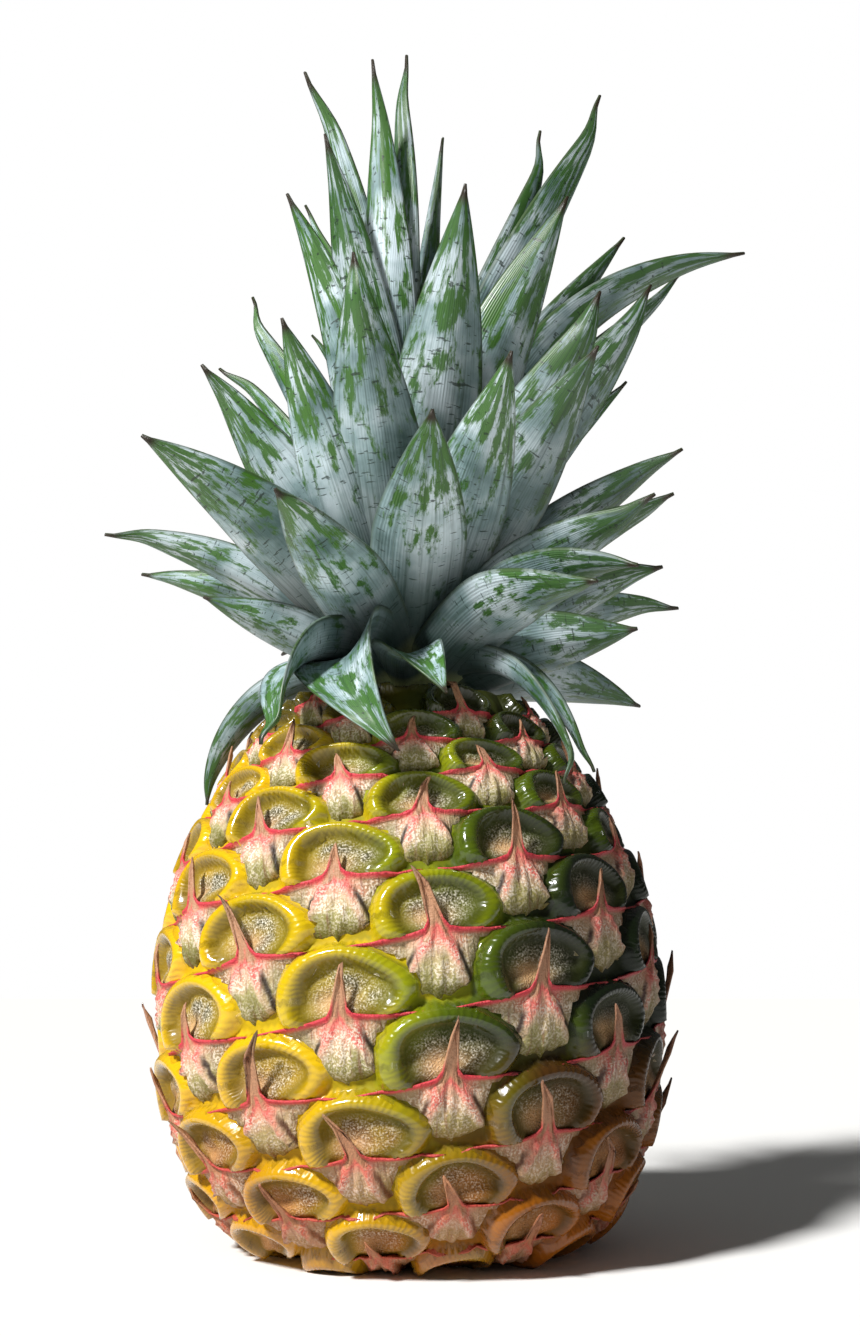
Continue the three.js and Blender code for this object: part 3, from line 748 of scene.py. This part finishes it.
def leaf_material():
    """Crown leaf: a tough strap under white wax bloom that looks blue-grey. Green where the bloom is
    rubbed off, pale at the root, with fine parallel veins and a dry brown tip. Painted shade darkens the
    lower part of each blade, between the leaves, and the right side of the crown."""
    material, tree, shader = new_material("bloomed_leaf")
    place = add_node(tree, "ShaderNodeTexCoord").outputs["Object"]
    spot, split = stored(tree, "spot")
    clouds = add_node(tree, "ShaderNodeTexNoise", inputs={"Vector": place, "Scale": 60.0, "Detail": 4.0})
    bloom = add_node(tree, "ShaderNodeValToRGB", inputs={"Fac": clouds.outputs["Fac"]})
    set_stops(bloom, [(0.32, "#54706E"), (0.46, "#94ADB0"), (0.6, "#D0E0E6")])

    # Rubbed patches about 3 mm wide and 20 mm long, with ragged edges.
    stretched = add_node(tree, "ShaderNodeVectorMath", {"operation": "MULTIPLY"},
                         {0: spot, 1: (3.6, 9.0, 30.0)})
    rubs = add_node(tree, "ShaderNodeTexNoise",
                    inputs={"Vector": stretched.outputs[0], "Scale": 1.0, "Detail": 6.0, "Roughness": 0.65})
    # More bloom is rubbed off towards the tip.
    handled = add_node(tree, "ShaderNodeMath", {"operation": "MULTIPLY_ADD"},
                       {0: split["Y"], 1: 0.3, 2: rubs.outputs["Fac"]})
    rub = add_node(tree, "ShaderNodeMapRange", {},
                   {"Value": handled.outputs[0], "From Min": 0.68, "From Max": 0.76, "To Max": 0.95})
    # Dark green streaks along the blade, under 1 mm wide.
    long_way = add_node(tree, "ShaderNodeVectorMath", {"operation": "MULTIPLY"},
                        {0: spot, 1: (14.0, 1.8, 40.0)})
    streaks = add_node(tree, "ShaderNodeTexNoise",
                       inputs={"Vector": long_way.outputs[0], "Scale": 1.0, "Detail": 4.0})
    streak = add_node(tree, "ShaderNodeMapRange", {},
                      {"Value": streaks.outputs["Fac"], "From Min": 0.5, "From Max": 0.72, "To Max": 0.6})
    # Dark scratches across the blade, under 1 mm wide.
    lines = add_node(tree, "ShaderNodeVectorMath", {"operation": "MULTIPLY"},
                     {0: spot, 1: (3.0, 90.0, 50.0)})
    scratches = add_node(tree, "ShaderNodeTexNoise",
                         inputs={"Vector": lines.outputs[0], "Scale": 1.0, "Detail": 3.0})
    scratch = add_node(tree, "ShaderNodeMapRange", {},
                       {"Value": scratches.outputs["Fac"], "From Min": 0.63, "From Max": 0.67, "To Max": 0.8})
    # Painted shade on the lower part of each blade, where it sits deep between the leaves, and some leaves
    # are darker than others at random.
    deep_shade = add_node(tree, "ShaderNodeMapRange", {"interpolation_type": "SMOOTHSTEP"},
                    {"Value": split["Y"], "From Min": 0.62, "From Max": 0.2, "To Max": 0.88})
    tone = add_node(tree, "ShaderNodeMapRange", {},
                    {"Value": split["Z"], "From Min": 0.0, "From Max": 1.0, "To Max": 0.35})
    shade_and_tone = add_node(tree, "ShaderNodeMath", {"operation": "MAXIMUM"},
                      {0: deep_shade.outputs["Result"], 1: tone.outputs["Result"]})
    # Painted shade: the right side of the crown, away from the lamp, is a darker green.
    where = add_node(tree, "ShaderNodeSeparateXYZ", inputs={0: place}).outputs
    right_side_shade = add_node(tree, "ShaderNodeMapRange", {"interpolation_type": "SMOOTHSTEP"},
                   {"Value": where["X"], "From Min": 0.0, "From Max": 0.05, "To Max": 0.38})
    # The pale root and the dry tip.
    root = add_node(tree, "ShaderNodeMapRange", {"interpolation_type": "SMOOTHSTEP"},
                    {"Value": split["Y"], "From Min": 0.14, "From Max": 0.05, "To Max": 0.7})
    tip = add_node(tree, "ShaderNodeMapRange", {"interpolation_type": "SMOOTHSTEP"},
                   {"Value": split["Y"], "From Min": 0.95, "From Max": 0.98})
    # The margin is a thin dark line.
    outward = add_node(tree, "ShaderNodeMath", {"operation": "ABSOLUTE"}, {0: split["X"]})
    margin = add_node(tree, "ShaderNodeMapRange", {},
                      {"Value": outward.outputs[0], "From Min": 0.93, "From Max": 1.0, "To Max": 0.7})

    colour = layered(tree, bloom.outputs["Color"], [
        (rub.outputs["Result"], linear("#3C6C10")),
        (streak.outputs["Result"], linear("#24402A")),
        (scratch.outputs["Result"], linear("#1F2E22")),
        (shade_and_tone.outputs[0], linear("#20342C")),
        (right_side_shade.outputs["Result"], linear("#1E3024")),
        (root.outputs["Result"], linear("#C2CC8E")),
        (tip.outputs["Result"], linear("#2E2618")),
        (margin.outputs["Result"], linear("#3C4A30")),
    ])
    tree.links.new(colour, shader.inputs["Base Color"])
    gloss = add_node(tree, "ShaderNodeMapRange", {},
                     {"Value": rub.outputs["Result"], "To Min": 0.55, "To Max": 0.34})
    tree.links.new(gloss.outputs["Result"], shader.inputs["Roughness"])
    shader.inputs["IOR"].default_value = 1.45

    # About 30 veins across the blade.
    veins = add_node(tree, "ShaderNodeMath", {"operation": "MULTIPLY"}, {0: split["X"], 1: 95.0})
    ripple = add_node(tree, "ShaderNodeMath", {"operation": "SINE"}, {0: veins.outputs[0]})
    bump = add_node(tree, "ShaderNodeBump",
                    inputs={"Height": ripple.outputs[0], "Distance": 0.00006, "Strength": 0.4})
    tree.links.new(bump.outputs["Normal"], shader.inputs["Normal"])
    return material


class RindSettings(bpy.types.PropertyGroup):
    steps: bpy.props.IntProperty(name="Steps", description="Points along one eye", default=25, min=6,
                                 max=26)


class BractSettings(bpy.types.PropertyGroup):
    columns: bpy.props.IntProperty(name="Columns", description="Points across one bract", default=25, min=9)
    rows: bpy.props.IntProperty(name="Rows", description="Points down one bract", default=16, min=6)
    thickness: bpy.props.FloatProperty(name="Thickness", description="Thickness of the paper",
                                       default=0.0004, unit="LENGTH")


class CrownSettings(bpy.types.PropertyGroup):
    rows: bpy.props.IntProperty(name="Rows", description="Points along one leaf", default=44, min=8)
    around: bpy.props.IntProperty(name="Around", description="Points round one leaf", default=26, min=6)


class StageSettings(bpy.types.PropertyGroup):
    distance: bpy.props.FloatProperty(name="Distance", description="Camera to the fruit's axis",
                                      default=0.345, unit="LENGTH")
    height: bpy.props.FloatProperty(name="Height", description="Camera over the floor", default=0.06,
                                    unit="LENGTH")
    pitch: bpy.props.FloatProperty(name="Pitch", description="Upward tilt", default=radians(13.2),
                                   subtype="ANGLE")
    focal_px: bpy.props.FloatProperty(name="Focal length", description="In pixels of the photograph",
                                      default=1352.0)
    centre_px: bpy.props.FloatProperty(name="Base", description="Pixel across of the base's middle",
                                       default=415.0)
    fill: bpy.props.FloatProperty(name="Fill", description="Strength of the light from all round",
                                  default=0.09)
    backdrop: bpy.props.FloatProperty(name="Backdrop", description="Paleness of the world that is seen",
                                      default=1.0)
    key: bpy.props.FloatProperty(name="Key", description="Strength of the lamp", default=5.4)
    softness: bpy.props.FloatProperty(name="Softness", description="How wide the lamp looks",
                                      default=radians(8), subtype="ANGLE")
    floor: bpy.props.FloatVectorProperty(name="Floor", description="Colour of the floor", subtype="COLOR",
                                         size=4, default=linear("#F2F1EE"))


class PINEAPPLE_OT_rind(bpy.types.Operator):
    """Make the rind with its eyes in relief"""
    bl_idname = "pineapple.rind"
    bl_label = "Rind"

    def execute(self, context):
        steps = context.scene.pineapple_rind.steps
        eights, thirteens, faces, rims = rind_net(steps)
        height, rim, disc, pit, furrow_shade, spoke, chance = rind_parts(eights, thirteens)
        points = fruit_points(eights, thirteens, height)
        centres = np.array([[LEAN, 0, FRUIT_HEIGHT], [0, 0, 0]])
        count = len(points)
        faces = faces.tolist()
        for i, ring in enumerate(rims):
            for here, after in zip(ring, ring[1:] + ring[:1]):
                faces.append([count + i, here, after] if i == 0 else [count + i, after, here])
        piece = make_piece("rind", np.vstack([points, centres]), faces, rind_material())
        ends = np.zeros((2, 3))
        store(piece, "parts", np.vstack([np.stack([rim, disc, pit], -1), ends]))
        store(piece, "more", np.vstack([np.stack([furrow_shade, spoke, chance], -1), ends]))
        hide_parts("fruit")
        return {"FINISHED"}


class PINEAPPLE_OT_bracts(bpy.types.Operator):
    """Make the papery bract under each eye"""
    bl_idname = "pineapple.bracts"
    bl_label = "Bracts"

    def execute(self, context):
        settings = context.scene.pineapple_bracts
        chances = np.random.default_rng(SEED + 1).uniform(-1, 1, (CHANCE_ROWS, 3))
        points, places, folds, faces = [], [], [], []
        count = 0
        for n in range(FIRST_BRACT, LAST_BRACT + 1):
            some, spots, bends = bract_points(n, chances[n - FIRST_EYE], settings.columns, settings.rows)
            points.append(some)
            places.append(spots)
            folds.append(bends)
            faces.append(grid_faces(settings.columns, settings.rows, count))
            count += len(some)
        faces = np.vstack(faces).tolist()
        piece = make_piece("bracts", np.vstack(points), faces, bract_material())
        store(piece, "spot", np.vstack(places))
        store(piece, "fold", np.vstack(folds))
        wall = piece.modifiers.new("paper", "SOLIDIFY")
        wall.thickness = settings.thickness
        wall.offset = 0
        return {"FINISHED"}


class PINEAPPLE_OT_crown(bpy.types.Operator):
    """Make the crown's leaves"""
    bl_idname = "pineapple.crown"
    bl_label = "Crown"

    def execute(self, context):
        settings = context.scene.pineapple_crown
        chances = np.random.default_rng(SEED + 2).uniform(-1, 1, (CHANCE_ROWS, 3))
        points, places, faces = [], [], []
        count = 0
        for row, chance in zip(all_leaves(), chances):
            some, spots = leaf_points(row, settings.rows, settings.around, chance)
            points.append(some)
            places.append(spots)
            faces.extend(tube_faces(settings.rows, settings.around, count))
            count += len(some)
        piece = make_piece("crown_leaves", np.vstack(points), faces, leaf_material())
        store(piece, "spot", np.vstack(places))
        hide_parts("crown")
        return {"FINISHED"}


class PINEAPPLE_OT_stage(bpy.types.Operator):
    """Make the floor, the lights and the camera"""
    bl_idname = "pineapple.stage"
    bl_label = "Stage"

    def execute(self, context):
        settings = context.scene.pineapple_stage
        self.make_floor(settings)
        self.make_lights(context.scene, settings)
        self.make_camera(context.scene, settings)
        return {"FINISHED"}

    def make_floor(self, settings):
        material, _, shader = new_material("pale_floor")
        shader.inputs["Base Color"].default_value = settings.floor
        shader.inputs["Roughness"].default_value = 0.8
        mesh = bpy.data.meshes.new("floor")
        corners = [(FLOOR_HALF * x, FLOOR_HALF * y, 0) for x, y in ((-1, -1), (1, -1), (1, 1), (-1, 1))]
        mesh.from_pydata(corners, [], [(0, 1, 2, 3)])
        mesh.materials.append(material)
        floor = bpy.data.objects.new("floor", mesh)
        bpy.context.scene.collection.objects.link(floor)

    def make_lights(self, scene, settings):
        """A low fill from all round, and one soft lamp from the front left, high up. What the camera sees
        of the world is as pale as the lit floor, so the floor has no edge."""
        scene.view_settings.view_transform = "Standard"
        world = bpy.data.worlds.new("studio")
        world.use_nodes = True
        tree = world.node_tree
        seen = add_node(tree, "ShaderNodeLightPath").outputs["Is Camera Ray"]
        strength = add_node(tree, "ShaderNodeMath", {"operation": "MULTIPLY_ADD"},
                            {0: seen, 1: settings.backdrop - settings.fill, 2: settings.fill})
        background = tree.nodes["Background"]
        background.inputs["Color"].default_value = linear("#FFFFFF")
        tree.links.new(strength.outputs[0], background.inputs["Strength"])
        scene.world = world
        light = bpy.data.lights.new("key", "SUN")
        light.angle = settings.softness
        light.energy = settings.key
        lamp = bpy.data.objects.new("key", light)
        lamp.rotation_euler = Vector(LAMP_DIRECTION).to_track_quat("-Z", "Y").to_euler()
        scene.collection.objects.link(lamp)

    def make_camera(self, scene, settings):
        camera = bpy.data.cameras.new("camera")
        camera.sensor_fit = "VERTICAL"
        camera.sensor_height = 36.0
        camera.lens = settings.focal_px / PHOTO_HEIGHT * camera.sensor_height
        eye = bpy.data.objects.new("camera", camera)
        eye.location = (0, -settings.distance, settings.height)
        yaw = atan((settings.centre_px - PHOTO_WIDTH / 2) / settings.focal_px)
        eye.rotation_euler = Euler((pi / 2 + settings.pitch, 0, yaw))
        scene.collection.objects.link(eye)
        scene.camera = eye


class PINEAPPLE_PT_panel(bpy.types.Panel):
    """The pineapple's steps"""
    bl_idname = "PINEAPPLE_PT_panel"
    bl_label = "Pineapple"
    bl_space_type = "VIEW_3D"
    bl_region_type = "UI"
    bl_category = "Pineapple"

    def draw(self, context):
        for operator in ("rind", "bracts", "crown", "stage"):
            self.layout.operator("pineapple." + operator)
        for name, settings in SETTINGS.items():
            for key in settings.__annotations__:
                self.layout.prop(getattr(context.scene, name), key)


SETTINGS = {
    "pineapple_rind": RindSettings,
    "pineapple_bracts": BractSettings,
    "pineapple_crown": CrownSettings,
    "pineapple_stage": StageSettings,
}
CLASSES = (*SETTINGS.values(), PINEAPPLE_OT_rind, PINEAPPLE_OT_bracts, PINEAPPLE_OT_crown, PINEAPPLE_OT_stage,
           PINEAPPLE_PT_panel)


def register():
    for made in CLASSES:
        bpy.utils.register_class(made)
    for name, settings in SETTINGS.items():
        setattr(bpy.types.Scene, name, bpy.props.PointerProperty(type=settings))


def unregister():
    for name in SETTINGS:
        delattr(bpy.types.Scene, name)
    for made in reversed(CLASSES):
        bpy.utils.unregister_class(made)


def main():
    register()
    bpy.ops.pineapple.stage()
    bpy.ops.pineapple.rind()
    bpy.ops.pineapple.bracts()
    bpy.ops.pineapple.crown()


if __name__ == "__main__":
    main()
